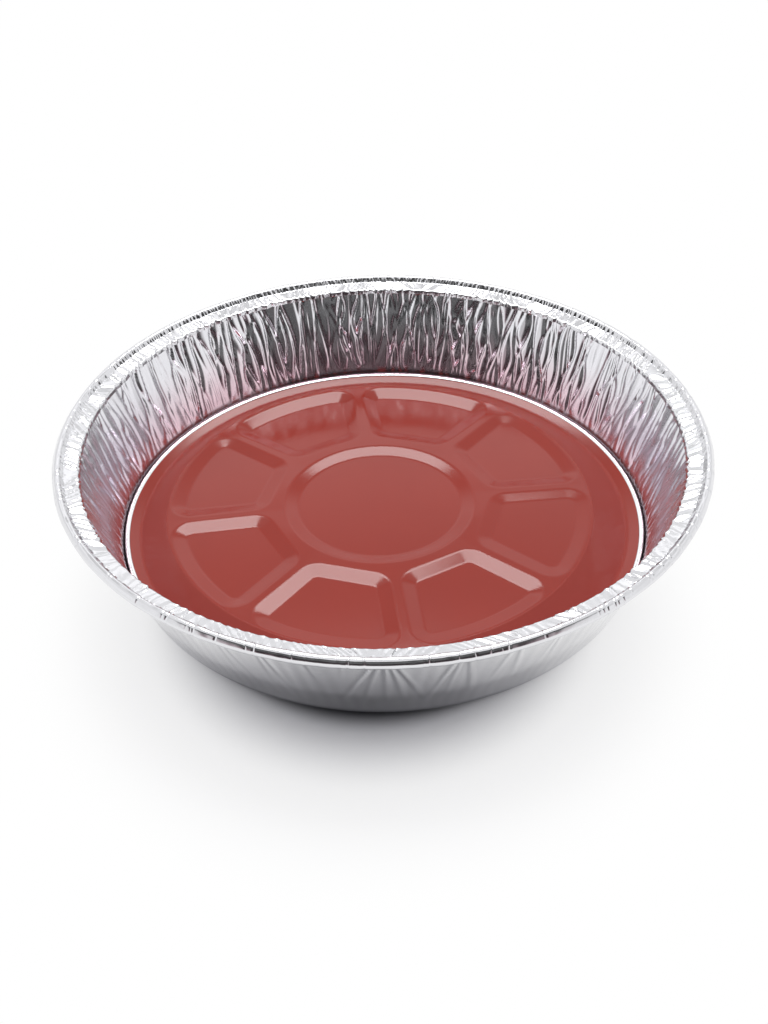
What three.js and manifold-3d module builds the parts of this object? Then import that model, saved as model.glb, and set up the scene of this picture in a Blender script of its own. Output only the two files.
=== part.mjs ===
// Round foil tray: a gathered foil pan with a curled rim, and a red embossed plate that lies in it.
// Millimetres, +Z up. The pan stands on z = 0 and its axis is the Z axis.
import * as THREE from 'three';
import { mergeVertices } from 'three/addons/utils/BufferGeometryUtils.js';
import Module from 'manifold-3d';

const wasm = await Module();
wasm.setup();

// Pan
const rimDiameter = 230; // over the curled edge
const panHeight = 47.5; // bench to the top of the curl
const sheetGauge = 0.5; // gathered foil and its pressed plate
const beadDiameter = 4; // curled edge, across the curl
const curlSweep = 315; // degrees that the curl turns through
const ledgeWidth = 5; // pleated ledge, from the wall to the curl
const ledgeRise = 0.8; // the ledge climbs this much on its way out
const wallSlope = 18.6; // degrees from upright
const heelRadius = 8; // outside bend between the bottom and the wall
const seamGap = 0.3; // between a sheet's edge and the roll it runs into

// Gathers of the wall and pleats of the ledge, stronger and weaker in waves around the pan
const gatherCount = 90;
const gatherDepth = 0.9; // at the mouth
const gatherFootDepth = 0.4; // at the heel
const gatherLean = 1.2; // degrees that a gather may lean between heel and mouth
const pleatHeight = 0.45;
const longWaves = 7;
const shortWaves = 19;
const leanWaves = 5;

// Plate
const plateHeight = 11.5; // middle of the rolled hem above the bench
const seatClearance = 0.3; // between the hem and the wall
const hemDiameter = 1.2;
const bandWidth = 15.5; // band between the hem and the raised panel
const panelRise = 5.2; // panel above the middle of the hem
const shoulderRadius = 3; // bend between the panel and the band
const lipWidth = 5; // rising edge between the foot of the band and the hem
const lipAngle = 18; // degrees that this edge rises
const gutterRadius = 2.6; // bend between the band and the rising edge
const discRadius = 34.5; // pressed disc in the middle
const discBevel = 4.5;
const ringWidth = 4.4; // flat ring between the disc and the pockets
const pocketCount = 8;
const pocketTurn = 6.5; // degrees from +X to the first spoke
const pocketMargin = 2; // flat edge between the pockets and the shoulder
const spokeWidth = 3.3;
const pocketBevel = 5.2;
const pocketFloorCorner = 2.3; // corner of a pocket's flat floor
const pressDepth = 1.4;

// Facets
const columnsPerGather = 2;
const wallBands = 3;
const roundSides = 72;
const hemSides = 8;
const curlSteps = 7;
const heelSteps = 3;
const cornerSteps = 3;
const outerArcSteps = 3;

const foilMaterial = { color: 0xc9c8cd, roughness: 0.24, metalness: 1 };
const rimMaterial = { color: 0xd8d8dc, roughness: 0.2, metalness: 1 };
const lacquerMaterial = { color: 0x9f483f, roughness: 0.3, metalness: 0.1 };
const bareMaterial = { color: 0xe2e2e6, roughness: 0.15, metalness: 1 };

const toRadians = THREE.MathUtils.degToRad;
const slope = toRadians(wallSlope);
const taper = Math.tan(slope);
const wallThickness = sheetGauge / Math.cos(slope); // measured level, through the sloping sheet

// The rim sets the mouth, and the taper sets every radius below it
const rimRadius = rimDiameter / 2;
const beadRadius = beadDiameter / 2;
const ledgeOuter = rimRadius - beadDiameter;
const mouthRadius = ledgeOuter - ledgeWidth;
const beadMiddle = panHeight - beadRadius;
const ledgeOuterTop = beadMiddle + sheetGauge / 2; // the ledge runs into the middle of the curl
const ledgeTop = ledgeOuterTop - ledgeRise;
const wallTop = ledgeTop - sheetGauge;
const wallInner = (height) => mouthRadius - (ledgeTop - height) * taper;
const wallOuter = (height) => wallInner(height) + wallThickness;

// The heel is an arc that meets the bench and the outside of the wall
const heelCentre = wallOuter(heelRadius) - heelRadius / Math.cos(slope);
const heelTop = heelRadius * (1 - Math.sin(slope));

// The plate is as wide as the wall lets it be at its height
const plateRadius = wallInner(plateHeight) - seatClearance;
const hemRadius = hemDiameter / 2;
const hemCentre = plateRadius - hemRadius;
const sheetEdge = hemCentre - hemRadius - seamGap;
const panelRadius = sheetEdge - bandWidth;
const panelTop = plateHeight + panelRise;
const pocketOuter = panelRadius - pocketMargin;
const pocketInner = discRadius + ringWidth;
const pocketCorner = pocketFloorCorner + pocketBevel;

function arc(centreX, centreY, radius, fromAngle, toAngle, steps) {
  const points = [];
  for (let step = 0; step <= steps; step += 1) {
    const angle = fromAngle + ((toAngle - fromAngle) * step) / steps;
    points.push([centreX + radius * Math.cos(angle), centreY + radius * Math.sin(angle)]);
  }
  return points;
}

// Turns a profile of [radius, height] points about Z, counter-clockwise with the radius to the right
function revolve(profile, sides) {
  const points = profile.map(([radius, height]) => new THREE.Vector2(radius, height));
  const geometry = new THREE.LatheGeometry(points, sides);
  geometry.rotateX(Math.PI / 2);
  geometry.deleteAttribute('normal');
  geometry.deleteAttribute('uv');
  return mergeVertices(geometry);
}

const closed = (profile) => [...profile, profile[0]];

// Moves each vertex of a revolved sheet: change takes and returns radius, angle and height
function reshape(geometry, change) {
  const position = geometry.getAttribute('position');
  for (let index = 0; index < position.count; index += 1) {
    const x = position.getX(index);
    const y = position.getY(index);
    const [radius, angle, height] = change(Math.hypot(x, y), Math.atan2(y, x), position.getZ(index));
    position.setXYZ(index, radius * Math.cos(angle), radius * Math.sin(angle), height);
  }
  return geometry;
}

// Uneven strength of the folds around the pan, between 0.4 and 1
const unevenness = (angle) => 0.7 + 0.18 * Math.sin(longWaves * angle) + 0.12 * Math.sin(shortWaves * angle);

// 0 in the valley of a fold and 1 on its ridge
const foldAt = (angle) => (1 - Math.cos(gatherCount * angle)) / 2;

function gather(radius, angle, height) {
  const share = (height - heelTop) / (wallTop - heelTop);
  const depth = gatherFootDepth + (gatherDepth - gatherFootDepth) * share;
  const lean = toRadians(gatherLean) * Math.sin(leanWaves * angle) * share;
  return [radius + depth * foldAt(angle) * unevenness(angle), angle + lean, height];
}

function pleat(radius, angle, height) {
  return [radius, angle, height + pleatHeight * foldAt(angle) * unevenness(angle + 1)];
}

function panBase() {
  const flank = -slope;
  const outside = arc(heelCentre, heelRadius, heelRadius, -Math.PI / 2, flank, heelSteps);
  const inside = arc(heelCentre, heelRadius, heelRadius - sheetGauge, flank, -Math.PI / 2, heelSteps);
  inside[0] = [wallInner(heelTop), heelTop];
  return revolve([[0, 0], ...outside, ...inside, [0, sheetGauge]], roundSides);
}

function panWall() {
  const heights = [];
  for (let band = 0; band <= wallBands; band += 1) {
    heights.push(heelTop + ((wallTop - heelTop) * band) / wallBands);
  }
  const outside = heights.map((height) => [wallOuter(height), height]);
  const inside = heights.map((height) => [wallInner(height), height]).reverse();
  const sheet = revolve(closed([...outside, ...inside]), gatherCount * columnsPerGather);
  return reshape(sheet, gather);
}

// The ledge lies on the wall's upper edge and ends at the curl
function rimLedge() {
  const end = ledgeOuter - seamGap;
  const seat = mouthRadius + wallThickness;
  const profile = [
    [mouthRadius, wallTop],
    [seat, wallTop],
    [end, ledgeOuterTop - sheetGauge],
    [end, ledgeOuterTop],
    [mouthRadius, ledgeTop],
  ];
  return reshape(revolve(closed(profile), gatherCount * columnsPerGather), pleat);
}

// The sheet climbs from the ledge, goes over the top and curls back in underneath
function rimBead() {
  const centre = rimRadius - beadRadius;
  const start = Math.PI;
  const end = start - toRadians(curlSweep);
  const outside = arc(centre, beadMiddle, beadRadius, end, start, curlSteps);
  const inside = arc(centre, beadMiddle, beadRadius - sheetGauge, start, end, curlSteps);
  return revolve(closed([...outside, ...inside]), roundSides);
}

// One pocket lies along +X between two spokes. Its corners are arcs about four fixed points,
// so a smaller corner gives the same outline further in.
function pocketLoop(corner) {
  const half = Math.PI / pocketCount;
  const sideOffset = spokeWidth / 2 + pocketCorner;
  const innerX = pocketInner + pocketCorner;
  const innerY = (innerX * Math.sin(half) - sideOffset) / Math.cos(half);
  const outerReach = pocketOuter - pocketCorner;
  const along = Math.sqrt(outerReach ** 2 - sideOffset ** 2);
  const outerX = along * Math.cos(half) + sideOffset * Math.sin(half);
  const outerY = along * Math.sin(half) - sideOffset * Math.cos(half);
  const outerAngle = Math.atan2(outerY, outerX);
  const sideNormal = Math.PI / 2 + half;
  const outerArc = arc(0, 0, outerReach + corner, -outerAngle, outerAngle, outerArcSteps);
  return [
    ...arc(innerX, -innerY, corner, -Math.PI, -sideNormal, cornerSteps),
    ...arc(outerX, -outerY, corner, -sideNormal, -outerAngle, cornerSteps),
    ...outerArc.slice(1, -1),
    ...arc(outerX, outerY, corner, outerAngle, sideNormal, cornerSteps),
    ...arc(innerX, innerY, corner, sideNormal, Math.PI, cornerSteps),
  ];
}

function discLoop(radius) {
  return arc(0, 0, radius, 0, 2 * Math.PI, roundSides).slice(0, -1);
}

// A closed block between two convex loops with as many points each, the low one first
function block(lowLoop, lowHeight, highLoop, highHeight) {
  const count = lowLoop.length;
  const positions = [];
  const indices = [];
  lowLoop.forEach(([x, y]) => positions.push(x, y, lowHeight));
  highLoop.forEach(([x, y]) => positions.push(x, y, highHeight));
  for (let index = 0; index < count; index += 1) {
    const next = (index + 1) % count;
    indices.push(index, next, count + next, index, count + next, count + index);
  }
  for (let index = 1; index < count - 1; index += 1) {
    indices.push(0, index + 1, index, count, count + index, count + index + 1);
  }
  const geometry = new THREE.BufferGeometry();
  geometry.setAttribute('position', new THREE.Float32BufferAttribute(positions, 3));
  geometry.setIndex(indices);
  return geometry;
}

function toSolid(geometry) {
  const vertProperties = Float32Array.from(geometry.getAttribute('position').array);
  const triVerts = Uint32Array.from(geometry.getIndex().array);
  return new wasm.Manifold(new wasm.Mesh({ numProp: 3, vertProperties, triVerts }));
}

function toGeometry(solid) {
  const mesh = solid.getMesh();
  const geometry = new THREE.BufferGeometry();
  geometry.setAttribute('position', new THREE.Float32BufferAttribute(mesh.vertProperties, 3));
  geometry.setIndex(new THREE.Uint32BufferAttribute(mesh.triVerts, 1));
  return geometry;
}

// A press in the panel: loopAt gives its outline at a distance outside or inside the edge of the bevel.
// The block runs on past the sheet along the same slope, so its cut and its underside stay clean.
function press(loopAt, bevel, top) {
  const overrun = sheetGauge;
  const climb = (overrun * pressDepth) / bevel;
  return block(loopAt(-bevel), top - pressDepth, loopAt(overrun), top + climb);
}

function floorPlate() {
  // The band falls from the panel to a foot below the hem, and the edge rises from there to the hem
  const lip = toRadians(lipAngle);
  const edgeTop = plateHeight + sheetGauge / 2;
  const footRadius = sheetEdge - lipWidth;
  const footTop = edgeTop - lipWidth * Math.tan(lip);
  const bandAngle = Math.atan2(panelTop - footTop, footRadius - panelRadius);
  const bend = shoulderRadius * Math.tan(bandAngle / 2);
  const bendStart = Math.PI / 2;
  const bendEnd = bendStart - bandAngle;
  const bendRadius = panelRadius - bend;
  const bendHeight = panelTop - shoulderRadius;
  const shoulder = arc(bendRadius, bendHeight, shoulderRadius, bendEnd, bendStart, cornerSteps);
  const footBend = gutterRadius * Math.tan((bandAngle + lip) / 2);
  const gutterMiddle = footRadius - footBend * Math.cos(bandAngle) + gutterRadius * Math.sin(bandAngle);
  const gutterHeight = footTop + footBend * Math.sin(bandAngle) + gutterRadius * Math.cos(bandAngle);
  const lowest = -Math.PI / 2;
  const gutter = arc(gutterMiddle, gutterHeight, gutterRadius, lowest + lip, lowest - bandAngle, cornerSteps);
  const top = [[sheetEdge, edgeTop], ...gutter, ...shoulder, [0, panelTop]];
  const underside = top.map(([radius, height]) => [radius, height - sheetGauge]).reverse();
  let plate = toSolid(revolve([...underside, ...top], roundSides));

  const pocketAt = (offset) => pocketLoop(pocketCorner + offset);
  const discAt = (offset) => discLoop(discRadius + offset);
  const presses = [];
  presses.push((level) => press(discAt, discBevel, level));
  for (let pocket = 0; pocket < pocketCount; pocket += 1) {
    const turn = toRadians(pocketTurn) + ((pocket + 0.5) * 2 * Math.PI) / pocketCount;
    presses.push((level) => press(pocketAt, pocketBevel, level).rotateZ(turn));
  }
  presses.forEach((at) => {
    plate = plate.add(toSolid(at(panelTop - sheetGauge)));
  });
  presses.forEach((at) => {
    plate = plate.subtract(toSolid(at(panelTop)));
  });
  return toGeometry(plate);
}

function plateHem() {
  const section = arc(hemCentre, plateHeight, hemRadius, 0, 2 * Math.PI, hemSides).slice(0, -1);
  return revolve(closed(section), roundSides);
}

function piece(name, geometry, finish) {
  const mesh = new THREE.Mesh(geometry, new THREE.MeshStandardMaterial(finish));
  mesh.name = name;
  return mesh;
}

const pan = new THREE.Group();
pan.add(
  piece('pan_base', panBase(), foilMaterial),
  piece('pan_wall', panWall(), foilMaterial),
  piece('rim_ledge', rimLedge(), rimMaterial),
  piece('rim_bead', rimBead(), rimMaterial),
);

const plate = new THREE.Group();
plate.add(
  piece('floor_plate', floorPlate(), lacquerMaterial),
  piece('plate_hem', plateHem(), bareMaterial),
);

const tray = new THREE.Group();
tray.add(pan, plate);

export default tray;
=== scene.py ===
import math

import bmesh
import bpy
import numpy as np
from mathutils import Matrix, Vector


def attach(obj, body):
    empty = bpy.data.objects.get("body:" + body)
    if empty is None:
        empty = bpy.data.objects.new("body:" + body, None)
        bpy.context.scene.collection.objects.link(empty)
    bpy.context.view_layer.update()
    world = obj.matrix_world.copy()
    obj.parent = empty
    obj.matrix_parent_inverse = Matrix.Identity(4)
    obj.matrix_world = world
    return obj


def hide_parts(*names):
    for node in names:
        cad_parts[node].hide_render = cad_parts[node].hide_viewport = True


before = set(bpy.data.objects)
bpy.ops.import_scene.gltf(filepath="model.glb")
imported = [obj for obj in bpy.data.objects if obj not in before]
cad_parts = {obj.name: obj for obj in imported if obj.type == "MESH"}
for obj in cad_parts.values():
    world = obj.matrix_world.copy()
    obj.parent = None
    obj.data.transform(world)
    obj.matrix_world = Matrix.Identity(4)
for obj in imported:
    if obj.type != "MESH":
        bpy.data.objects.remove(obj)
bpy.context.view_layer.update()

mm = 0.001  # pieces are shaped in millimetres and brought to metres when they are finished
fullTurn = 2 * math.pi
scene = bpy.context.scene
scene.view_settings.view_transform = "Standard"


# camera: the height, pitch and lens of the photograph's view
shot = {"place": (0.0, -412.08, 337.51), "pitch": 38.29, "roll": -1.14, "lens": 50.27, "sensor": 36.0}

lens = bpy.data.cameras.new("camera")
lens.lens = shot["lens"]
lens.sensor_width = shot["sensor"]
camera = bpy.data.objects.new("camera", lens)
tilted = Matrix.Rotation(math.radians(90 - shot["pitch"]), 4, "X")
rolled = Matrix.Rotation(math.radians(shot["roll"]), 4, "Z")
camera.matrix_world = Matrix.Translation(Vector(shot["place"]) * mm) @ tilted @ rolled
scene.collection.objects.link(camera)
scene.camera = camera
print("camera set")


# shader maths: a wire is a socket that takes part in plain Python expressions
softDetail = 1.0  # of a noise, from broad clouds to fine grain
plainDetail = 2.0
fineDetail = 3.0
levelScale = (1, 1, 0)  # leaves the height out of a place


class Wire:
    def __init__(self, tree, socket=None):
        self.tree = tree
        self.socket = socket

    def node(self, kind, settings=None, sockets=None, output=0):
        made = self.tree.nodes.new(kind)
        for name, value in (settings or {}).items():
            setattr(made, name, value)
        for name, value in (sockets or {}).items():
            if isinstance(value, Wire):
                self.tree.links.new(value.socket, made.inputs[name])
            else:
                made.inputs[name].default_value = value
        return Wire(self.tree, made.outputs[output]) if made.outputs else made

    def other(self, output):  # another output of the same node
        return Wire(self.tree, self.socket.node.outputs[output])

    def math(self, operation, first, second=0.0):
        return self.node("ShaderNodeMath", {"operation": operation}, {0: first, 1: second})

    def __add__(self, other):
        return self.math("ADD", self, other)

    def __radd__(self, other):
        return self.math("ADD", other, self)

    def __sub__(self, other):
        return self.math("SUBTRACT", self, other)

    def __rsub__(self, other):
        return self.math("SUBTRACT", other, self)

    def __mul__(self, other):
        return self.math("MULTIPLY", self, other)

    def __rmul__(self, other):
        return self.math("MULTIPLY", other, self)

    def __truediv__(self, other):
        return self.math("DIVIDE", self, other)

    def ease(self, low, high):  # 0 below low, 1 above high, smooth between
        limits = {"Value": self, "From Min": low, "From Max": high}
        return self.node("ShaderNodeMapRange", {"interpolation_type": "SMOOTHSTEP"}, limits)

    def blend(self, first, second):  # from the first colour to the second as the wire goes from 0 to 1
        first, second = [end if isinstance(end, Wire) else (*end, 1) for end in (first, second)]
        return self.node("ShaderNodeMix", {"data_type": "RGBA"}, {0: self, 6: first, 7: second}, 2)

    def length(self):
        return self.node("ShaderNodeVectorMath", {"operation": "LENGTH"}, {0: self}, "Value")

    def stretched(self, scale):
        return self.node("ShaderNodeMapping", None, {"Vector": self, "Scale": scale})

    def noise(self, scale, detail=plainDetail):
        return self.node("ShaderNodeTexNoise", None, {"Vector": self, "Scale": scale, "Detail": detail})

    def bump(self, height, distance, onto=None):
        sockets = {"Height": height, "Strength": 1.0, "Distance": distance}
        if onto:
            sockets["Normal"] = onto
        return self.node("ShaderNodeBump", None, sockets)


def freshMaterial(name):
    made = bpy.data.materials.new(name)
    made.use_nodes = True
    made.node_tree.nodes.clear()
    place = Wire(made.node_tree).node("ShaderNodeTexCoord", None, None, "Object")
    return made, place


# the lower wall: the colour carries a painted reflection of the red plate towards the foot, painted shade
# in the crevice by the plate and a painted mauve sheen on the front and sides
def footLeanAndPaintedLight(place, look, layers):
    height = place.node("ShaderNodeSeparateXYZ", None, {"Vector": place}, "Z")
    depth = height.other("Y")
    above = height.math("MAXIMUM", height - look["leanFrom"] * mm, 0.0)
    layers["Normal"] = place.bump(0.0 - above, look["lean"], layers["Normal"])  # wrinkles face up a little
    # painted reflection: towards the foot the wall's colour turns pink, standing in for the red plate
    # mirrored in it
    tint = height.ease(look["footFrom"] * mm, look["footTo"] * mm).blend(look["paintedPlateReflection"], look["colour"])
    # painted shade: the wall's colour darkens nearly to black in the crevice just above the plate's hem
    tint = height.ease(look["creviceFrom"] * mm, look["creviceTo"] * mm).blend(look["paintedCreviceShade"], tint)
    low = 1.0 - height.ease(look["footFrom"] * mm, look["roughTo"] * mm)
    layers["Roughness"] = layers["Roughness"] + low * look["footRough"]
    # painted sheen: a matte mauve layer at mid height, full on the front and sides and fading out across
    # the back, standing in for the hazy reflection of the red plate
    paintedSheen = height.ease(look["footFrom"] * mm, look["sheenPeakAt"] * mm)
    paintedSheen = paintedSheen * (1.0 - height.ease(look["sheenPeakAt"] * mm, look["sheenEndAt"] * mm))
    paintedSheen = paintedSheen * (1.0 - depth.ease(look["sheenBackFrom"] * mm, look["sheenBackTo"] * mm))
    layers["Base Color"] = paintedSheen.blend(tint, look["paintedSheenColour"])
    layers["Metallic"] = 1.0 - look["paintedSheen"] * paintedSheen


def foil(name, look):
    made, place = freshMaterial(name)
    cloud = place.noise(look["cloudScale"], fineDetail)
    grain = place.stretched(look["grainStretch"]).noise(look["grainScale"])
    dents = place.noise(look["dentScale"], fineDetail)
    normal = place.bump(grain, look["grainDepth"] * mm)
    layers = {
        "Base Color": (*look["colour"], 1),
        "Metallic": 1.0,
        "Roughness": look["roughness"] + (cloud - 0.5) * look["roughnessSpread"],
        "Normal": place.bump(dents, look["dentDepth"] * mm, normal),
    }
    if "paintedPlateReflection" in look:
        footLeanAndPaintedLight(place, look, layers)
    if "foldShadeColour" in look:  # painted light and shade along the folds: dark and bright streaks in the colour, standing in for the folds' reflections
        crease = place.node("ShaderNodeAttribute", {"attribute_name": "crease"}, None, "Fac")
        layers["Base Color"] = crease.blend(look["foldShadeColour"], look["foldLightColour"])
    shader = place.node("ShaderNodeBsdfPrincipled", None, layers)
    place.node("ShaderNodeOutputMaterial", None, {"Surface": shader})
    return made


def lacquer(name, look):
    made, place = freshMaterial(name)
    cloud = place.noise(look["cloudScale"], fineDetail)
    peel = place.noise(look["peelScale"])
    ripple = place.noise(look["rippleScale"], softDetail)
    normal = place.bump(peel, look["peelDepth"] * mm)
    normal = place.bump(ripple, look["rippleDepth"] * mm, normal)
    struck = place.node("ShaderNodeVectorMath", None, {0: place, 1: (look["offCentre"] * mm, 0, 0)})
    fromPress = struck.stretched(levelScale).length()
    fromAxis = place.stretched(levelScale).length()
    dull = fromPress.ease(look["dullFrom"] * mm, look["dullTo"] * mm)  # the slope is duller than the lip
    dull = dull * (1.0 - fromAxis.ease(look["lipFrom"] * mm, look["lipTo"] * mm)) * look["dull"]
    roughness = look["roughness"] + (cloud - 0.5) * look["roughnessSpread"]
    glossy = place.node("ShaderNodeBsdfPrincipled", None, {
        "Base Color": cloud.ease(*look["cloudEdge"]).blend(look["colour"], look["deepColour"]),
        "Roughness": roughness,
        "IOR": look["ior"],
        "Normal": normal,
    })
    matte = place.node("ShaderNodeBsdfPrincipled", None, {
        "Base Color": (*look["matteColour"], 1),
        "Roughness": roughness + look["matteRough"],
        "IOR": look["matteIor"],
        "Normal": normal,
    })
    shader = place.node("ShaderNodeMixShader", None, {0: dull, 1: glossy, 2: matte})
    place.node("ShaderNodeOutputMaterial", None, {"Surface": shader})
    return made


wallFoilLook = {
    "colour": (0.85, 0.845, 0.875), "roughness": 0.17, "roughnessSpread": 0.06, "cloudScale": 90.0,
    "grainScale": 900.0, "grainStretch": (1.0, 1.0, 0.15), "grainDepth": 0.006,
    "dentScale": 220.0, "dentDepth": 0.012, "lean": 0.13, "leanFrom": 13.0,
    # painted reflection of the red plate in the wall's colour, from footFrom up to footTo
    "paintedPlateReflection": (0.81, 0.58, 0.64), "footFrom": 13.0, "footTo": 36.0, "footRough": 0.05, "roughTo": 20.0,
    # painted shade in the crevice between the wall and the plate's hem
    "paintedCreviceShade": (0.2, 0.15, 0.17), "creviceFrom": 12.0, "creviceTo": 14.2,
    # painted sheen: a matte mauve layer on the front and sides of the lower wall, none at the back
    "paintedSheen": 0.36, "paintedSheenColour": (0.68, 0.62, 0.72), "sheenPeakAt": 24.0, "sheenEndAt": 44.0,
    "sheenBackFrom": 0.0, "sheenBackTo": 70.0,
}
smoothFoilLook = {
    "colour": (0.86, 0.86, 0.88), "roughness": 0.18, "roughnessSpread": 0.06, "cloudScale": 60.0,
    "grainScale": 900.0, "grainStretch": (0.1, 1.0, 1.0), "grainDepth": 0.005,
    "dentScale": 120.0, "dentDepth": 0.03,
}
# the outer foil's colour carries painted fold shading: dark on one flank of each fold, light on the other
outerFoilLook = dict(smoothFoilLook, foldShadeColour=(0.3, 0.3, 0.33), foldLightColour=(1.0, 1.0, 1.0))
rimFoilLook = dict(
    smoothFoilLook, colour=(0.79, 0.79, 0.81), roughness=0.15, dentScale=300.0, dentDepth=0.02,
)
hemFoilLook = dict(smoothFoilLook, colour=(0.93, 0.93, 0.94), roughness=0.2, dentDepth=0.01)
lacquerLook = {
    "colour": (0.335, 0.0255, 0.0115), "deepColour": (0.318, 0.0228, 0.0098),
    "cloudScale": 25.0, "cloudEdge": (0.3, 0.7), "roughness": 0.13, "roughnessSpread": 0.04, "ior": 1.5,
    "peelScale": 2200.0, "peelDepth": 0.01, "rippleScale": 70.0, "rippleDepth": 0.006,
    "offCentre": 1.5, "dull": 0.9, "dullFrom": 76.6, "dullTo": 77.4, "lipFrom": 88.6, "lipTo": 89.6,
    "matteColour": (0.352, 0.062, 0.049), "matteRough": 0.3, "matteIor": 1.15,
}
gatheredFoil = foil("gathered foil", wallFoilLook)
drawnFoil = foil("drawn foil", smoothFoilLook)
outerFoil = foil("outer foil", outerFoilLook)
rimFoil = foil("rim foil", rimFoilLook)
hemFoil = foil("bare hem", hemFoilLook)
redLacquer = lacquer("red lacquer", lacquerLook)
print("finishes mixed")


# what the frame says about its round nodes, in millimetres
def nodeSpots(node):
    spots = np.array([v.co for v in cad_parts[node].data.vertices]) / mm
    return np.hypot(spots[:, 0], spots[:, 1]), spots[:, 2]


beadReach, beadLevel = nodeSpots("rim_bead")
ledgeReach = nodeSpots("rim_ledge")[0]
wallReach, wallLevel = nodeSpots("pan_wall")
plateReach = nodeSpots("floor_plate")[0]
hemReach, hemLevel = nodeSpots("plate_hem")

sheetGauge = 0.5  # the sheet of the solids
nearly = 0.02  # points this close to a height lie on it
mergeGap = 0.002  # points closer than this are joined
wallFoot = wallLevel.min()
wallTop = wallLevel.max()
wallHeight = wallTop - wallFoot
footReach = wallReach[wallLevel < wallFoot + nearly].min()
topReach = wallReach[wallLevel > wallTop - nearly].min()
middleReach = (footReach + topReach) / 2
wallLean = (topReach - footReach) / wallHeight
leanAngle = math.degrees(math.atan(wallLean))
wallThrough = sheetGauge * math.hypot(1, wallLean)
beadRadius = (beadLevel.max() - beadLevel.min()) / 2
beadMiddle = (beadLevel.max() + beadLevel.min()) / 2
beadCentre = beadReach.max() - beadRadius
hemCentre = (hemReach.min() + hemReach.max()) / 2
hemMiddle = (hemLevel.min() + hemLevel.max()) / 2
hemRadius = (hemLevel.max() - hemLevel.min()) / 2


def coneReach(level):  # inside of the plain tapered wall
    return footReach + (level - wallFoot) * wallLean


def smooth(value, low, high):
    share = np.clip((value - low) / (high - low), 0, 1)
    return share * share * (3 - 2 * share)


def aside(turn, centre):  # signed angle from a centre, the short way round
    return (turn - centre + math.pi) % fullTurn - math.pi


def patches(turn, up, around, rows, seed):  # smooth random values from 0 to 1 that join up around the pan
    grid = np.random.RandomState(seed).rand(rows + 2, around)
    x = turn / fullTurn % 1 * around
    y = np.clip(up, 0, 1) * rows
    column = x.astype(int) % around
    row = y.astype(int)
    across = smooth(x - np.floor(x), 0, 1)
    along = smooth(y - row, 0, 1)
    after = (column + 1) % around
    low = grid[row, column] * (1 - across) + grid[row, after] * across
    high = grid[row + 1, column] * (1 - across) + grid[row + 1, after] * across
    return low * (1 - along) + high * along


def ringPatches(turn, around, seed):  # the same, alike at every height
    return patches(turn, np.zeros(len(turn)), around, 1, seed)


def pleats(turn, count, seed, spread=0.4):  # folds of random width and slant: -1 to 1 with sharp steps
    draw = np.random.RandomState(seed)
    widths = draw.uniform(1 - spread, 1 + spread, count)
    ends = np.cumsum(widths) / widths.sum()
    starts = np.concatenate([[0], ends[:-1]])
    rises = draw.uniform(-1, 1, count)
    share = turn / fullTurn % 1
    fold = np.searchsorted(ends, share).clip(0, count - 1)
    along = (share - starts[fold]) / (ends[fold] - starts[fold])
    return rises[fold] * (2 * along - 1)


def spun(outline, steps, sectors=16):  # a closed outline of radius and height, turned about the tray's axis
    bm = bmesh.new()
    spots = [bm.verts.new((reach, 0, level)) for reach, level in outline]
    edges = [bm.edges.new(pair) for pair in zip(spots, spots[1:] + spots[:1])]
    axle = {"cent": (0, 0, 0), "axis": (0, 0, 1)}
    sector = fullTurn / sectors  # one sector is turned finely, then copied around
    bmesh.ops.spin(bm, geom=spots + edges, angle=sector, steps=steps // sectors, **axle)
    whole = bm.verts[:] + bm.edges[:] + bm.faces[:]
    bmesh.ops.spin(bm, geom=whole, angle=fullTurn - sector, steps=sectors - 1, use_duplicate=True, **axle)
    bmesh.ops.remove_doubles(bm, verts=bm.verts, dist=mergeGap)
    bmesh.ops.recalc_face_normals(bm, faces=bm.faces)
    return bm


def reshape(bm, move):  # move takes and gives back turn, radius and height
    spots = np.array([v.co for v in bm.verts])
    turn = np.arctan2(spots[:, 1], spots[:, 0])
    reach = np.hypot(spots[:, 0], spots[:, 1])
    turn, reach, level = move(turn, reach, spots[:, 2])
    moved = np.stack([reach * np.cos(turn), reach * np.sin(turn), level], 1)
    for vert, spot in zip(bm.verts, moved):
        vert.co = spot


def sharpen(bm, degrees):  # hard edges where the outline turns a corner
    limit = math.radians(degrees)
    for edge in bm.edges:
        edge.smooth = edge.calc_face_angle(0) < limit


def finishPiece(bm, name, node, body, slot, *materials):
    bmesh.ops.scale(bm, vec=(mm, mm, mm), verts=bm.verts)
    for face in bm.faces:
        face.smooth = True
    mesh = bpy.data.meshes.new(name)
    bm.to_mesh(mesh)
    bm.free()
    for material in materials:
        mesh.materials.append(material)
    made = bpy.data.objects.new(name, mesh)
    scene.collection.objects.link(made)
    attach(made, body)
    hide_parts(node)
    mesh.calc_loop_triangles()
    print(name, "made,", len(mesh.loop_triangles), "triangles")


def arc(centreReach, centreLevel, radius, start, end, steps):  # degrees, in the plane of an outline
    turns = [math.radians(start + (end - start) * step / steps) for step in range(steps + 1)]
    return [(centreReach + radius * math.cos(t), centreLevel + radius * math.sin(t)) for t in turns]


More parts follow.
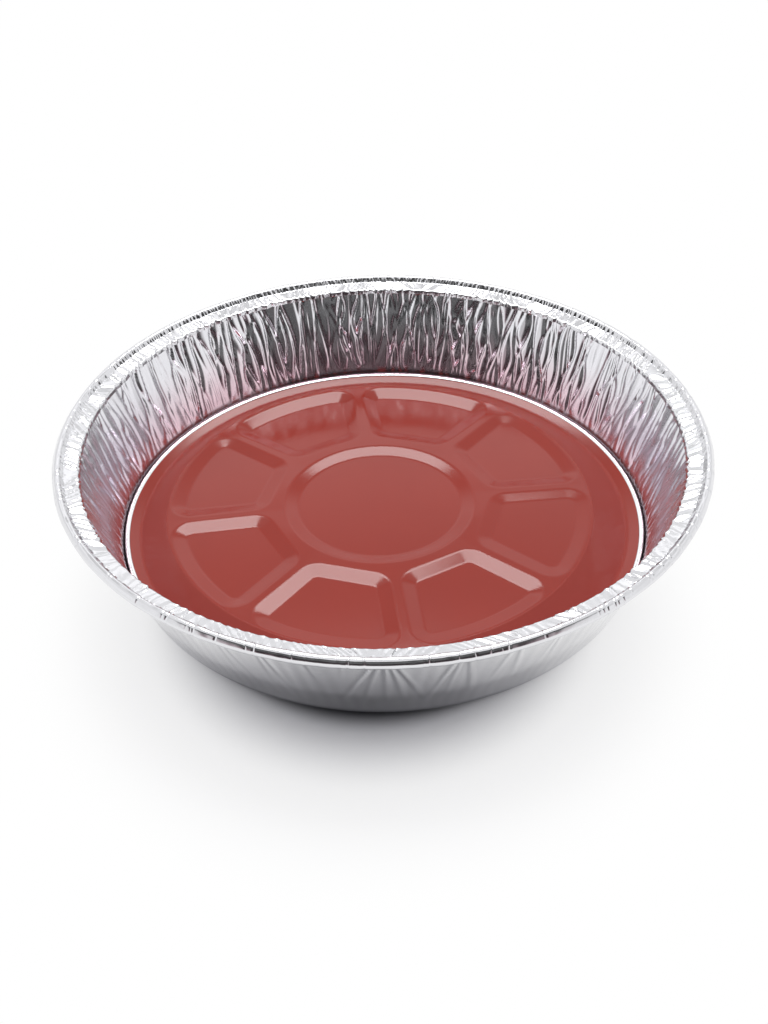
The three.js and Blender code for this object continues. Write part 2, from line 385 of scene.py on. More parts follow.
# wall: long flats between upright creases inside, a few fans of creases outside
wallLook = {
    "columns": 1536, "innerRows": 33, "outerRows": 26, "hiddenRows": 2, "sharp": 50, "seed": 7,
    "swell": 0.9, "swellFrom": 6.0, "swellTo": 18.0, "flare": 0.045, "flareFrom": 13.0,
    "leastSheet": 0.2, "seatFade": 1.5,
    "longCreases": 165, "topCreases": 85, "lowCreases": 42, "crowding": 0.25, "crowdedAt": 90.0,
    "stray": 0.45, "wander": (0.3, 1.9), "wave": (15.0, 46.0), "slant": 0.09, "longStart": (4.0, 20.0),
    "topStart": (wallFoot + 18, wallTop - 8), "lowEnd": (wallFoot + 16, wallTop - 14),
    "longEnd": wallTop + 6, "fadeIn": 6.0, "fadeOut": 5.0,
    "grooveDepth": (0.2, 0.9), "grooveWidth": 0.42, "ridges": 0.2, "ridgeRise": 0.6,
    "strength": (0.6, 1.8), "strengthCells": (70, 2), "calm": 0.35, "calmEdge": (0.6, 1.2),
    "lie": 0.5, "lieSpread": 0.42, "lieCells": (330, 2), "bulge": 0.42, "bulgeWidth": 3.0, "bulgeMost": 1.5,
    "fluteCount": 214, "fluteDepth": 0.1, "fluteFrom": 12.0, "fluteTo": 15.5, "fluteLie": 0.3,
    "fluteSway": 3.0, "fluteCells": 40, "fluteLeast": 0.25, "fluteSides": (0.4, 0.8),
    "knots": 45, "knotWide": 0.4, "knotTall": 0.5, "knotDepth": 0.4, "knotStep": 1.6, "knotDents": (2, 6),
    "knotLevels": (wallFoot + 14, wallTop - 4), "knotStray": 0.4, "knotWindow": (0.02, 3.0),
}


def creaseSet(look, draw):  # where each crease runs and how deep it is
    count = look["longCreases"] + look["topCreases"] + look["lowCreases"]
    kind = draw.permutation(count)
    even = (np.arange(count) + draw.uniform(-look["stray"], look["stray"], count)) / count * fullTurn
    crowded = even - look["crowding"] * np.sin(even - math.radians(look["crowdedAt"]))
    top = kind < look["topCreases"]
    low = kind >= count - look["lowCreases"]
    creases = {
        "start": crowded * middleReach,
        "wander": draw.uniform(*look["wander"], count),
        "wave": draw.uniform(*look["wave"], count),
        "phase": draw.uniform(0, fullTurn, count),
        "slant": draw.normal(0, look["slant"], count),
        "from": np.where(
            top, draw.uniform(*look["topStart"], count), draw.uniform(*look["longStart"], count),
        ),
        "to": np.where(low, draw.uniform(*look["lowEnd"], count), look["longEnd"]),
        "depth": draw.uniform(*look["grooveDepth"], count),
    }
    creases["depth"] *= np.where(draw.rand(count) < look["ridges"], -look["ridgeRise"], 1)
    return creases


def creaseSpots(creases, level):  # distance around the wall of every crease at a height
    bend = creases["wander"] * np.sin(fullTurn * level / creases["wave"] + creases["phase"])
    return creases["start"] + bend + creases["slant"] * (level - wallFoot - wallHeight / 2)


def creaseFold(turn, level, creases, look):
    around = fullTurn * middleReach
    along = turn % fullTurn * middleReach
    rows, row = np.unique(np.round(level, 3), return_inverse=True)
    fold = np.empty(len(turn))
    for index, height in enumerate(rows):
        some = np.nonzero(row == index)[0]
        spots = creaseSpots(creases, height) % around
        shown = smooth(height, creases["from"], creases["from"] + look["fadeIn"])
        shown = shown * (1 - smooth(height, creases["to"] - look["fadeOut"], creases["to"]))
        up = np.full(len(spots), (height - wallFoot) / wallHeight)
        lie = 2 * patches(spots / middleReach, up, *look["lieCells"], look["seed"] + 4) - 1
        order = np.argsort(spots)
        wrapped = np.concatenate([order[-1:], order, order[:1]])
        places = spots[wrapped]
        places[0] -= around
        places[-1] += around
        lie = (look["lieSpread"] * shown * lie)[wrapped]
        depth = (shown * creases["depth"])[wrapped]
        after = np.searchsorted(places, along[some]).clip(1, len(places) - 1)
        before = along[some] - places[after - 1]
        ahead = places[after] - along[some]
        width = before + ahead + 1e-6  # two creases may meet
        share = before / width
        flat = lie[after - 1] * (1 - share) + lie[after] * share
        puffed = np.clip(width / look["bulgeWidth"], 0, look["bulgeMost"])
        pillow = look["bulge"] * 4 * share * (1 - share) * puffed
        groove = depth[after - 1] * np.exp(-before / look["grooveWidth"])
        groove += depth[after] * np.exp(-ahead / look["grooveWidth"])
        fold[some] = flat - pillow + groove
    return fold


def knotField(turn, level, creases, look, draw):  # crushed knots: strings of small dents along a crease
    dents = np.zeros(len(turn))
    stray = look["knotStray"]
    nearTurn, nearLevel = look["knotWindow"]
    for knot in range(look["knots"]):
        crease = draw.randint(len(creases["start"]))
        knotLevel = draw.uniform(*look["knotLevels"])
        for dent in range(draw.randint(*look["knotDents"])):
            height = knotLevel + dent * look["knotStep"]
            place = (creaseSpots(creases, height)[crease] + draw.uniform(-stray, stray)) / middleReach
            push = draw.uniform(-1, 1) * look["knotDepth"]
            near = np.nonzero((abs(aside(turn, place)) < nearTurn) & (abs(level - height) < nearLevel))[0]
            x = aside(turn[near], place) * middleReach / look["knotWide"]
            y = (level[near] - height) / look["knotTall"]
            dents[near] += push * np.exp(-x * x - y * y)
    return dents


outerLook = {
    "waves": 130, "depth": 0.08, "slant": 0.12, "strengthCells": (60, 2), "seed": 9,
    "sway": 4.0, "swayCells": 30, "swaySeed": 3, "roll": 0.3, "rollCells": (46, 2),
    # these three tone values set the painted light and shade of the outer wall's folds
    "limits": (-0.5, 0.7), "fadeIn": 6.0, "paintedFoldTone": 0.9, "fanPaintedTone": 2.4, "wavePaintedTone": 0.9,
    "fanWidth": 0.5, "fanSpread": 0.026, "backFrom": -32.0, "backTo": 212.0, "backStep": (8.0, 18.0),
    "backSlope": (-0.4, 0.4), "backCreases": (1, 5), "backLength": (20.0, 36.0), "backDepth": (0.3, 0.8),
}
# angle, slopes of the creases, length and depth
outerFans = [
    (-137, (-0.3, 0.1), 24, 0.4), (-121, (0.15, 0.35), 30, 0.4), (-113, (0.12, 0.3), 30, 0.6),
    (-105, (0.22,), 22, 0.5), (-97, (-0.1,), 20, 0.3), (-90.5, (-0.42, -0.2, 0.02, 0.2, 0.4), 34, 0.8),
    (-77, (-0.3, -0.12, 0.15), 34, 0.8), (-67, (-0.25, 0.05), 30, 0.5), (-58, (-0.2, -0.05), 28, 0.4),
    (-44, (-0.3, 0.1), 26, 0.4),
]


def backFans(look, draw):  # the same kind of fans around the rest of the pan
    fans = []
    angle = look["backFrom"]
    while angle < look["backTo"]:
        slopes = tuple(draw.uniform(*look["backSlope"], draw.randint(*look["backCreases"])))
        fans.append((angle, slopes, draw.uniform(*look["backLength"]), draw.uniform(*look["backDepth"])))
        angle += draw.uniform(*look["backStep"])
    return fans


def fanField(turn, level, fans, look):  # creases that spread downwards from a pinch under the rim
    folds = np.zeros(len(turn))
    down = wallTop - level
    width = look["fanWidth"] + look["fanSpread"] * down
    for angle, slopes, length, depth in fans:
        fade = np.clip(1 - down / length, 0, 1)
        for slope in slopes:
            x = (aside(turn, math.radians(angle)) * middleReach - slope * down) / width
            folds += depth * fade * x * np.exp(-x * x)
    return folds


def outerWave(turn, level, look):  # soft slanted draw marks around the outside
    up = (level - wallFoot) / wallHeight
    side = np.where(np.cos(turn) < 0, 1, -1) * look["slant"]
    shift = (wallTop - level) * side / middleReach
    strength = patches(turn, up, *look["strengthCells"], look["seed"])
    sway = look["sway"] * ringPatches(turn, look["swayCells"], look["swaySeed"])
    marks = look["depth"] * strength * np.sin((turn - shift) * look["waves"] + sway)
    return marks + look["roll"] * (patches(turn, up, *look["rollCells"], look["seed"] + 1) - 0.5)


def makeWall(look, outside):
    draw = np.random.RandomState(look["seed"])
    levels = list(np.linspace(wallFoot, hemMiddle, look["hiddenRows"], endpoint=False))
    levels += list(np.linspace(hemMiddle, wallTop, look["innerRows"] + 1))
    outline = [(coneReach(level), level) for level in levels]
    for level in np.linspace(wallTop, wallFoot, look["outerRows"] + 1):
        outline.append((coneReach(level) + wallThrough, level))
    bm = spun(outline, look["columns"])
    sharpen(bm, look["sharp"])
    for face in bm.faces:
        spot = face.calc_center_median()
        face.material_index = int(spot.to_2d().length > coneReach(spot.z) + wallThrough / 2)
    creases = creaseSet(look, draw)
    fans = outerFans + backFans(outside, draw)
    paintedFoldTone = np.zeros(len(bm.verts))

    def gather(turn, reach, level):
        inside = reach < coneReach(level) + wallThrough / 2
        around = turn[inside]
        height = level[inside]
        up = (height - wallFoot) / wallHeight
        flare = look["flare"] * np.clip(level - look["flareFrom"], 0, None)
        swell = look["swell"] * smooth(level, look["swellFrom"], look["swellTo"])
        lowest, highest = look["strength"]
        share = patches(around, up, *look["strengthCells"], look["seed"] + 1)
        strength = lowest + (highest - lowest) * share
        fromCrowd = abs(aside(around, math.radians(look["crowdedAt"])))
        strength *= 1 - look["calm"] * smooth(fromCrowd, *look["calmEdge"])
        fold = look["lie"] + strength * creaseFold(around, height, creases, look)
        fold += knotField(around, height, creases, look, draw)
        sway = look["fluteSway"] * ringPatches(around, look["fluteCells"], look["seed"] + 2)
        flute = look["fluteDepth"] * np.cos(around * look["fluteCount"] + sway)  # small flutes at the foot
        sides = smooth(abs(np.cos(around)), *look["fluteSides"])
        flute = look["fluteLie"] + flute * (look["fluteLeast"] + (1 - look["fluteLeast"]) * sides)
        foot = 1 - smooth(height, look["fluteFrom"], look["fluteTo"])
        fold = fold * (1 - foot) + flute * foot
        fold = np.clip(fold, 0, swell[inside] + wallThrough - look["leastSheet"])
        fold *= smooth(height, hemMiddle, hemMiddle + look["seatFade"])
        drawn = outerWave(turn, level, outside)
        pinched = fanField(turn, level, fans, outside)
        # painted light and shade: each fan and draw mark turns one flank dark and the other light in the
        # outer wall's colour
        paintedTone = outside["paintedFoldTone"] + outside["fanPaintedTone"] * pinched + outside["wavePaintedTone"] * drawn
        paintedFoldTone[:] = np.clip(paintedTone, 0, 1)
        outer = np.clip(drawn + pinched, *outside["limits"])
        reach = reach + swell + flare + outer * smooth(level, wallFoot, wallFoot + outside["fadeIn"])
        reach[inside] = coneReach(height) + fold + flare[inside]
        return turn, reach, level

    reshape(bm, gather)
    # the painted fold tone goes to the outer foil as the crease attribute
    layer = bm.verts.layers.float.new("crease")
    for vert, value in zip(bm.verts, paintedFoldTone):
        vert[layer] = value
    finishPiece(bm, "gatheredWall", "pan_wall", "pan", "wall_foil", gatheredFoil, outerFoil)


makeWall(wallLook, outerLook)


# bottom: a flat disc with a rounded heel that runs up into the wall
baseLook = {"steps": 240, "heelSteps": 14, "flatRings": 6, "hub": 0.0005, "sharp": 50}


def makeBase(look):
    heelRadius = wallFoot / (1 - math.sin(math.radians(leanAngle)))
    heelReach = footReach + wallThrough - heelRadius * math.cos(math.radians(leanAngle))
    outside = arc(heelReach, heelRadius, heelRadius, -leanAngle, -90, look["heelSteps"])
    inside = arc(heelReach, heelRadius, heelRadius - sheetGauge, -90, -leanAngle, look["heelSteps"])
    rings = [max(look["hub"], heelReach * ring / look["flatRings"]) for ring in range(look["flatRings"])]
    under = [(reach, 0.0) for reach in reversed(rings)]
    over = [(reach, sheetGauge) for reach in rings]
    bm = spun(outside + under + over + inside, look["steps"])
    sharpen(bm, look["sharp"])
    finishPiece(bm, "panBottom", "pan_base", "pan", "base_foil", drawnFoil)


makeBase(baseLook)


# ledge: a pleated shelf whose inner lip rolls down over the wall
ledgeLook = {
    "steps": 2000, "thickness": 0.35, "flatRings": 7, "tuck": 0.5, "sharp": 60, "seed": 21,
    "lipRadius": 0.8, "lipSteps": 6, "lipDrop": 1.0, "lipWave": 0.45, "lipFade": 1.2,
    "pleats": 290, "pleatRise": 0.42, "slant": 0.01, "slantCells": 60, "tip": 0.32,
    "held": 0.6, "heldWidth": 1.0,
}


def makeLedge(look):
    inner = ledgeReach.min()
    outer = ledgeReach.max()
    innerTop = wallTop + sheetGauge
    outerTop = beadMiddle + sheetGauge / 2
    lip = look["lipRadius"]
    thick = look["thickness"]
    top = arc(inner + lip, innerTop - lip, lip, 180 - leanAngle, 90, look["lipSteps"])
    drop = look["lipDrop"]
    top.insert(0, (top[0][0] - drop * wallLean, top[0][1] - drop))
    start = top[-1]
    end = (outer + look["tuck"], outerTop)  # tucked into the bead
    for ring in range(1, look["flatRings"] + 1):
        share = ring / look["flatRings"]
        top.append((start[0] + (end[0] - start[0]) * share, start[1] + (end[1] - start[1]) * share))
    under = [(reach + thick / 2, level - thick) for reach, level in reversed(top[2:])]
    under.append((top[0][0] + thick, top[0][1]))
    bm = spun(top + under, look["steps"])
    sharpen(bm, look["sharp"])

    def pleat(turn, reach, level):
        lean = (ringPatches(turn, look["slantCells"], look["seed"] + 1) - 0.5) * 2 * look["slant"]
        bent = turn + lean * (reach - inner)
        rise = pleats(bent, look["pleats"], look["seed"])
        tip = pleats(bent, look["pleats"] * 2, look["seed"] + 2) * ((reach - inner) / (outer - inner) - 0.5)
        flat = smooth(reach, inner, inner + look["lipFade"])
        free = 1 - look["held"] * smooth(reach, outer - look["heldWidth"], outer)
        rise = rise * free + tip * look["tip"]
        level = level + look["pleatRise"] * rise * flat
        return turn, reach + look["lipWave"] * rise * (1 - flat), level

    reshape(bm, pleat)
    finishPiece(bm, "pleatedLedge", "rim_ledge", "pan", "ledge_foil", rimFoil)


makeLedge(ledgeLook)


# bead: the curled edge, with a crimped face towards the ledge and nicks across its top
beadLook = {
    "steps": 2880, "curlSteps": 20, "curlFrom": 95, "curlTo": -150, "sharp": 60, "seed": 31,
    "faceSteps": 7, "faceFoot": -1.95, "faceDrop": 0.6, "faceHead": (-0.6, 1.8), "faceIn": (0.6, 1.1),
    "faceUp": (-0.4, 0.1), "crimps": 680, "crimpDepth": 0.42, "wobble": 0.16, "wobbleCells": 190,
    "nicks": 140, "nickWidth": 0.22, "nickDepth": 0.25, "nickLeast": 0.2, "nickLean": 0.3,
    "flatAt": 33.75, "flatHalf": 24.5, "flatSpread": 0.3, "flatCells": 330,
}


def makeBead(look):
    headReach, headLevel = look["faceHead"]
    face = [(beadCentre + look["faceFoot"], beadMiddle - look["faceDrop"])]
    for step in range(look["faceSteps"] + 1):
        share = step / look["faceSteps"]
        reach = look["faceFoot"] + (headReach - look["faceFoot"]) * share
        face.append((beadCentre + reach, beadMiddle + headLevel * share))
    curl = arc(beadCentre, beadMiddle, beadRadius, look["curlFrom"], look["curlTo"], look["curlSteps"])
    bm = spun(face + curl, look["steps"])
    sharpen(bm, look["sharp"])

    def crimp(turn, reach, level):
        draw = np.random.RandomState(look["seed"])
        out = np.arctan2(level - beadMiddle, reach - beadCentre)  # 0 outwards, a quarter turn up
        push = (ringPatches(turn, look["wobbleCells"], look["seed"] + 1) - 0.5) * look["wobble"]
        low, high = look["faceUp"]
        raised = smooth(level, beadMiddle + low, beadMiddle + high)
        innerFace = smooth(beadCentre - reach, *look["faceIn"]) * raised
        push += look["crimpDepth"] * innerFace * pleats(turn, look["crimps"], look["seed"] + 2)
        half = math.radians(look["flatHalf"])  # the curl is pressed flat along its outer shoulder
        chord = math.cos(half) / np.cos(np.clip(out - math.radians(look["flatAt"]), -half, half)) - 1
        pressure = 1 - look["flatSpread"] * ringPatches(turn, look["flatCells"], look["seed"] + 3)
        push += beadRadius * chord * pressure
        for nick in range(look["nicks"]):
            where = draw.uniform(-math.pi, math.pi)
            lean = draw.uniform(-look["nickLean"], look["nickLean"])
            depth = draw.uniform(look["nickLeast"], 1) * look["nickDepth"]
            along = aside(turn, where) * beadCentre - lean * (reach - beadCentre)
            push -= depth * np.exp(-(along / look["nickWidth"]) ** 2)
        return turn, reach + push * np.cos(out), level + push * np.sin(out)

    reshape(bm, crimp)
    finishPiece(bm, "curledBead", "rim_bead", "pan", "bead_foil", rimFoil)


makeBead(beadLook)


# plate: a raised panel of pressed pockets around a pressed disc; its band falls to a gutter by the hem
plateLook = {
    "thickness": 0.4, "discRadius": 34.5, "discBevel": 4.5, "ringWidth": 4.4, "pressDepth": 1.32,
    "pockets": 8, "firstSpoke": 6.5, "spokeWidth": 3.3,
    "pocketMargin": 1.3, "pocketBevel": 4.9, "floorCorner": 2.6,
    "margin": 0.95, "fillet": 0.7, "filletSteps": 4, "cornerSteps": 10, "outerSteps": 18, "arcSteps": 36,
    "webGap": 0.1, "bandWidth": 15.5, "panelRise": 5.6, "dome": 1.0, "heldWidth": 2.0, "sharp": 50,
    "shoulderStart": 0.2, "shoulderRadius": 0.5, "shoulderSteps": 3, "bandRings": 3,
    "lipAngle": 18.0, "lipWidth": 5.4, "gutterRadius": 2.6, "gutterSteps": 10,
    "shallow": {344.0: 0.48, 29.0: 0.75, 164.0: 0.75},
    "tiltedSpoke": 96.5, "tilt": 0.0455, "tiltFrom": 55.0,
}
panelReach = plateReach.max() - plateLook["bandWidth"]
panelTop = hemMiddle + plateLook["panelRise"]


def pocketOutline(look, grow):  # one pocket along +X from its inner middle, grown all round
    half = math.pi / look["pockets"]
    corner = look["floorCorner"] + look["pocketBevel"]
    radius = corner + grow
    inner = look["discRadius"] + look["ringWidth"]
    outer = panelReach - look["pocketMargin"]
    side = look["spokeWidth"] / 2 + corner
    innerX = inner + corner
    innerY = (innerX * math.sin(half) - side) / math.cos(half)
    along = math.sqrt((outer - corner) ** 2 - side ** 2)
    outerX = along * math.cos(half) + side * math.sin(half)
    outerY = along * math.sin(half) - side * math.cos(half)
    swing = math.degrees(math.atan2(outerY, outerX))
    flank = 90 + math.degrees(half)
    steps = look["cornerSteps"]
    spots = [(innerX - radius, 0)]
    spots += arc(innerX, -innerY, radius, -180, -flank, steps)
    spots += arc(outerX, -outerY, radius, -flank, -swing, steps)
    spots += arc(0, 0, outer + grow, -swing, swing, look["outerSteps"])[1:-1]
    spots += arc(outerX, outerY, radius, swing, flank, steps)
    spots += arc(innerX, innerY, radius, flank, 180, steps)
    return spots


def pressed(bm, faces, look, bevel):  # margin, bevel and floor ring of a pressed form, all rounded
    inset = {"faces": faces, "use_even_offset": True}
    bmesh.ops.inset_individual(bm, thickness=look["margin"], **inset)
    upper = [edge for face in faces for edge in face.edges]
    bmesh.ops.inset_individual(bm, thickness=bevel, depth=-look["pressDepth"], **inset)
    lower = [edge for face in faces for edge in face.edges]
    bmesh.ops.inset_individual(bm, thickness=look["margin"], **inset)
    bmesh.ops.bevel(bm, geom=upper + lower, offset=look["fillet"], offset_type="OFFSET", affect="EDGES",
                    segments=look["filletSteps"], profile=0.5, material=-1)


def bandRings(look):  # radius and drop of each ring: shoulder, slope, rounded gutter and raised lip
    start = panelReach - look["shoulderStart"]
    fall = look["panelRise"] - look["dome"]
    lip = math.radians(look["lipAngle"])
    corner = hemCentre - look["lipWidth"] - start  # where the slope and the lip would meet
    deepest = fall + look["lipWidth"] * math.tan(lip)
    slope = math.atan2(deepest, corner)
    bend = look["gutterRadius"]
    tangent = bend * math.tan((slope + lip) / 2)
    slopeEnd = start + corner - tangent * math.cos(slope)
    slopeFall = tangent * math.sin(slope) - deepest
    gutter = arc(slopeEnd + bend * math.sin(slope), slopeFall + bend * math.cos(slope), bend,
                 -90 - math.degrees(slope), look["lipAngle"] - 90, look["gutterSteps"])
    shoulder = look["shoulderRadius"]
    rings = []
    for step in range(look["shoulderSteps"] + 1):
        turn = slope * step / look["shoulderSteps"]
        rings.append((start + shoulder * math.sin(turn), shoulder * (math.cos(turn) - 1)))
    reach, level = rings[-1]
    for ring in range(1, look["bandRings"]):
        share = ring / look["bandRings"]
        rings.append((reach + (slopeEnd - reach) * share, level + (slopeFall - level) * share))
    rings += gutter
    reach, level = rings[-1]
    for ring in range(1, look["bandRings"] + 1):
        share = ring / look["bandRings"]
        rings.append((reach + (hemCentre - reach) * share, level - (fall + level) * share))
    return rings


def plateSector(bm, look, discEdge, webEdge):  # a pocket and the two halves of the flat web around it
    half = 180 / look["pockets"]
    steps = look["arcSteps"]
    pocket = [bm.verts.new((x, y, 0)) for x, y in pocketOutline(look, look["margin"])]
    near = [bm.verts.new((x, y, 0)) for x, y in arc(0, 0, discEdge, -half, half, steps // 2)]
    far = [bm.verts.new((x, y, 0)) for x, y in arc(0, 0, webEdge, -half, half, steps)]
    middle = len(pocket) // 2
    bm.faces.new(near[:steps // 4 + 1][::-1] + far[:steps // 2 + 1] + pocket[:middle + 1][::-1])
    bm.faces.new(near[steps // 4:] + far[steps // 2:][::-1] + pocket[middle:] + pocket[:1])
    bm.faces.new(pocket).material_index = 1


def makePlate(look):
    bm = bmesh.new()
    discEdge = look["discRadius"] + look["margin"]
    webEdge = panelReach - look["pocketMargin"] + look["margin"] + look["webGap"]
    plateSector(bm, look, discEdge, webEdge)
    first = math.radians(look["firstSpoke"]) + math.pi / look["pockets"]
    bmesh.ops.rotate(bm, verts=bm.verts, cent=(0, 0, 0), matrix=Matrix.Rotation(first, 3, "Z"))
    sector = fullTurn / look["pockets"]
    bmesh.ops.spin(bm, geom=bm.verts[:] + bm.edges[:] + bm.faces[:], cent=(0, 0, 0), axis=(0, 0, 1),
                   angle=fullTurn - sector, steps=look["pockets"] - 1, use_duplicate=True)
    bmesh.ops.remove_doubles(bm, verts=bm.verts, dist=mergeGap)
    border = [edge for edge in bm.edges if edge.is_boundary]
    between = (discEdge + webEdge) / 2
    rim = [edge for edge in border if edge.verts[0].co.length > between]
    discRim = [edge for edge in border if edge.verts[0].co.length < between]
    disc = bmesh.ops.edgeloop_fill(bm, edges=discRim)["faces"]
    bmesh.ops.recalc_face_normals(bm, faces=bm.faces)
    if disc[0].normal.z < 0:
        bmesh.ops.reverse_faces(bm, faces=bm.faces)
    reachNow, levelNow = webEdge, 0.0
    for reach, level in bandRings(look):
        grown = bmesh.ops.extrude_edge_only(bm, edges=rim)["geom"]
        spots = [g for g in grown if isinstance(g, bmesh.types.BMVert)]
        rim = [g for g in grown if isinstance(g, bmesh.types.BMEdge)]
        bmesh.ops.scale(bm, vec=(reach / reachNow, reach / reachNow, 1), verts=spots)
        bmesh.ops.translate(bm, vec=(0, 0, level - levelNow), verts=spots)
        reachNow, levelNow = reach, level
    pockets = [face for face in bm.faces if face.material_index == 1]
    for face in pockets:
        face.material_index = 0
    pressed(bm, pockets, look, look["pocketBevel"])
    pressed(bm, disc, look, look["discBevel"])

    def settle(turn, reach, level):  # a low dome, three shallower pockets and two leaning ones
        within = (reach > discEdge) & (reach < webEdge)
        for pocket, depth in look["shallow"].items():
            shallow = within & (abs(aside(turn, math.radians(pocket))) < sector / 2)
            level = np.where(shallow, level * depth, level)
        leaning = within & (abs(aside(turn, math.radians(look["tiltedSpoke"]))) < sector)
        level = np.where(leaning, level * (1 + look["tilt"] * (reach - look["tiltFrom"])), level)
        return turn, reach, level - look["dome"] * np.minimum(reach / panelReach, 1) ** 2

    reshape(bm, settle)
    heldFrom = hemCentre - look["heldWidth"]
    for vert in bm.verts:  # the press struck a little off the plate's centre
        share = 1 - smooth(vert.co.to_2d().length, panelReach, heldFrom)
        vert.co.x -= lacquerLook["offCentre"] * float(share)
    bmesh.ops.translate(bm, vec=(0, 0, panelTop), verts=bm.verts)
    bmesh.ops.recalc_face_normals(bm, faces=bm.faces)
    bmesh.ops.solidify(bm, geom=bm.faces[:], thickness=look["thickness"])
    sharpen(bm, look["sharp"])
    finishPiece(bm, "redPlate", "floor_plate", "plate", "red_lacquer", redLacquer)


makePlate(plateLook)


# hem: the plate's bare rolled edge
hemLook = {
    "steps": 720, "sides": 20, "widen": 1.65, "inward": 0.35, "wobble": 0.05, "wobbleCells": 60, "seed": 41,
}


def makeHem(look):
    section = arc(0, hemMiddle, hemRadius, 0, 360, look["sides"])[:-1]
    section = [(hemCentre - look["inward"] + reach * look["widen"], level) for reach, level in section]
    bm = spun(section, look["steps"])

    def waver(turn, reach, level):
        wave = ringPatches(turn, look["wobbleCells"], look["seed"]) - 0.5
        return turn, reach, level + look["wobble"] * wave

    reshape(bm, waver)
    finishPiece(bm, "bareHem", "plate_hem", "plate", "bare_hem", hemFoil)


makeHem(hemLook)


# stage: a white floor that keeps the tray's soft shadow, deepened by a painted shadow ring around the
# tray's foot, and runs out into white, in metres
stageLook = {
    "size": 8.0, "cells": 8, "sink": 0.0001, "shift": (0.005, 0.034, 0.0), "narrow": (1.1, 1.0, 1.0),
    # paintedShadowColour is a dark ring painted into the paper around the tray's foot
    "colour": (0.9, 0.895, 0.93), "paintedShadowColour": (0.04, 0.04, 0.05),
    "paintedShadowFrom": 0.053, "paintedShadowTo": 0.065,
    "fadeFrom": 0.058, "fadeTo": 0.09, "haze": 0.26, "hazeFrom": 0.08, "hazeTo": 0.135,
    "mirrorShift": 0.008, "mirrorFrom": 0.043, "mirrorTo": 0.083,
}


def makeFloor(look):
    made, place = freshMaterial("white floor")
    direct = place.node("ShaderNodeLightPath", None, None, "Is Camera Ray")
    glossy = direct.other("Is Glossy Ray")
    seen = direct.math("MAXIMUM", direct, glossy)
    straight = direct.math("LESS_THAN", direct.other("Diffuse Depth"), 0.5)  # not by way of a dull surface
    narrowed = place.stretched(look["narrow"])
    away = place.node("ShaderNodeVectorMath", None, {0: narrowed, 1: look["shift"]}).length()
    # painted shadow: the paper's colour darkens to near black close to the tray; glossy rays see a wider
    # painted ring, from mirrorFrom to mirrorTo
    clearOfPaintedShadow = away.ease(look["paintedShadowFrom"], look["paintedShadowTo"]) * (1.0 - glossy)
    clearOfPaintedShadow = clearOfPaintedShadow + away.ease(look["mirrorFrom"], look["mirrorTo"]) * glossy
    tint = clearOfPaintedShadow.blend(look["paintedShadowColour"], look["colour"])
    paper = place.node("ShaderNodeBsdfDiffuse", None, {"Color": tint})
    white = place.node("ShaderNodeEmission", None, {"Color": (1, 1, 1, 1), "Strength": 1.0})
    nearer = away - glossy * look["mirrorShift"]
    haze = (1.0 - nearer.ease(look["hazeFrom"], look["hazeTo"])) * look["haze"]
    fade = seen * straight * nearer.ease(look["fadeFrom"], look["fadeTo"]) * (1.0 - haze)
    mixed = place.node("ShaderNodeMixShader", None, {0: fade, 1: paper, 2: white})
    place.node("ShaderNodeOutputMaterial", None, {"Surface": mixed})
    bm = bmesh.new()
    bmesh.ops.create_grid(bm, x_segments=look["cells"], y_segments=look["cells"], size=look["size"] / 2)
    bmesh.ops.translate(bm, vec=(0, 0, -look["sink"]), verts=bm.verts)
    mesh = bpy.data.meshes.new("floor")
    bm.to_mesh(mesh)
    bm.free()
    mesh.materials.append(made)
    floor = bpy.data.objects.new("floor", mesh)
    scene.collection.objects.link(floor)


makeFloor(stageLook)


# light: a softbox over the back of the tray, white all round, and a dark room in front of it
lightLook = {
    "boxSize": (0.4, 0.39), "boxPlace": (0.0, 0.345, 0.70), "boxPower": 2.79,
    "skyColour": (0.99, 0.99, 1.0), "fill": 0.765, "shadeEdge": (0.7, 0.95), "shadeTo": (0.85, 0.95),
    "dark": 0.015, "darkEdge": (0.72, 1.15), "darkSpread": 1.1,
    "darkFrom": (0.06, 0.16), "darkTo": (0.66, 0.78),
    "veil": 0.16, "veilFrom": (0.36, 0.43), "veilTo": (0.5, 0.56),
    "low": 0.035, "lowTo": (0.28, 0.36), "lowColour": (1.0, 0.62, 0.72),
    "tone": 0.92, "mottle": 0.6, "mottleScale": 2.5, "backEdge": (0.3, 0.7),
    "dip": 0.25, "dipFrom": (0.62, 0.67), "dipTo": (0.72, 0.77),
    "strip": 0.3, "stripFrom": (0.44, 0.52), "stripTo": (0.57, 0.63),
}


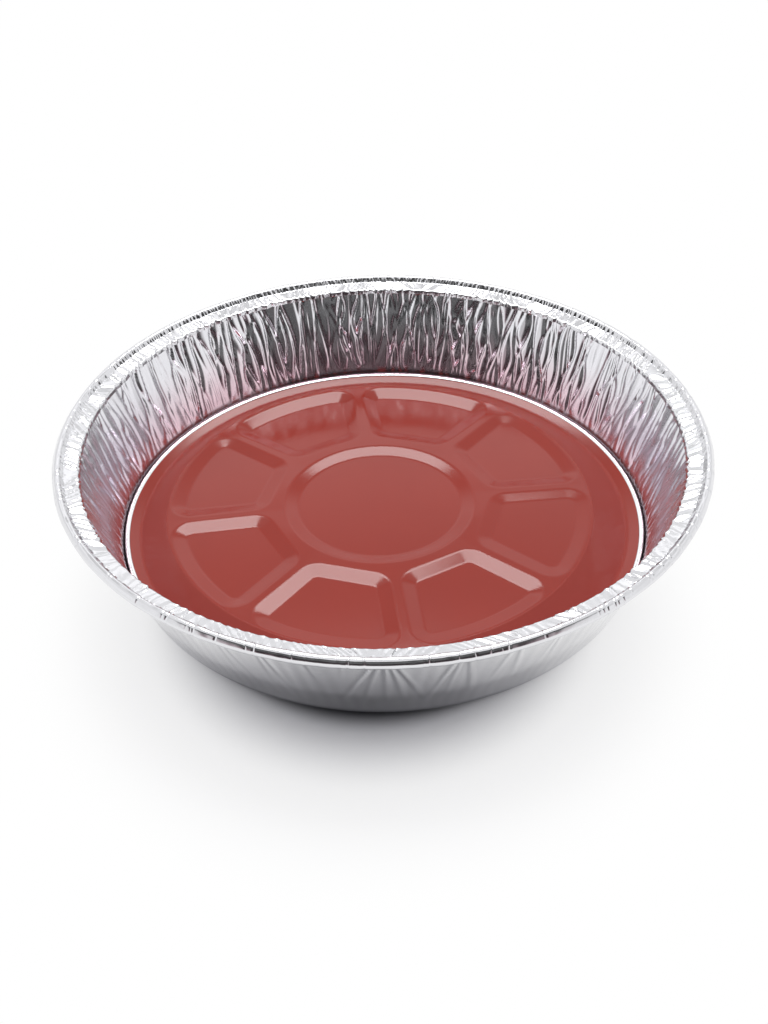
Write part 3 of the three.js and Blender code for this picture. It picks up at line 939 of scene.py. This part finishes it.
def makeLights(look):
    lamp = bpy.data.lights.new("softbox", "AREA")
    lamp.shape = "RECTANGLE"
    lamp.size, lamp.size_y = look["boxSize"]
    lamp.energy = look["boxPower"]
    box = bpy.data.objects.new("softbox", lamp)
    box.location = look["boxPlace"]
    scene.collection.objects.link(box)
    world = bpy.data.worlds.new("studio")
    scene.world = world
    world.use_nodes = True
    world.node_tree.nodes.clear()
    start = Wire(world.node_tree)
    towards = start.node("ShaderNodeTexCoord", None, None, "Generated")
    x = start.node("ShaderNodeSeparateXYZ", None, {"Vector": towards})
    y = x.other("Y")
    z = x.other("Z")
    front = (0.0 - y) / x.math("SQRT", x * x + y * y)
    dark = (front + z * look["darkSpread"]).ease(*look["darkEdge"])
    dark = dark * z.ease(*look["darkFrom"]) * (1.0 - z.ease(*look["darkTo"]))
    shade = front.ease(*look["shadeEdge"]) * (1.0 - z.ease(*look["shadeTo"]))
    back = (0.0 - front).ease(*look["backEdge"])
    tone = look["tone"] - look["dip"] * back * z.ease(*look["dipFrom"]) * (1.0 - z.ease(*look["dipTo"]))
    tone = tone + look["strip"] * back * z.ease(*look["stripFrom"]) * (1.0 - z.ease(*look["stripTo"]))
    tone = tone + (towards.noise(look["mottleScale"], softDetail) - 0.5) * look["mottle"]
    low = 1.0 - z.ease(*look["lowTo"])
    veil = look["veil"] * z.ease(*look["veilFrom"]) * (1.0 - z.ease(*look["veilTo"]))
    mirrored = tone * (1.0 - dark) + dark * (look["dark"] + veil + low * look["low"])
    falling = (1.0 - shade) * look["fill"]
    seen = start.node("ShaderNodeLightPath", None, None, "Is Camera Ray")
    straight = seen.math("LESS_THAN", seen.other("Diffuse Depth"), 0.5)
    glossy = seen.other("Is Glossy Ray") * straight
    level = mirrored * glossy + falling * (1.0 - glossy)
    sky = start.node("ShaderNodeBackground", None, {
        "Color": (dark * low * glossy).blend(look["skyColour"], look["lowColour"]),
        "Strength": seen + (1.0 - seen) * level,
    })
    start.node("ShaderNodeOutputWorld", None, {"Surface": sky})


makeLights(lightLook)
print("stage lit")

bpy.context.view_layer.update()
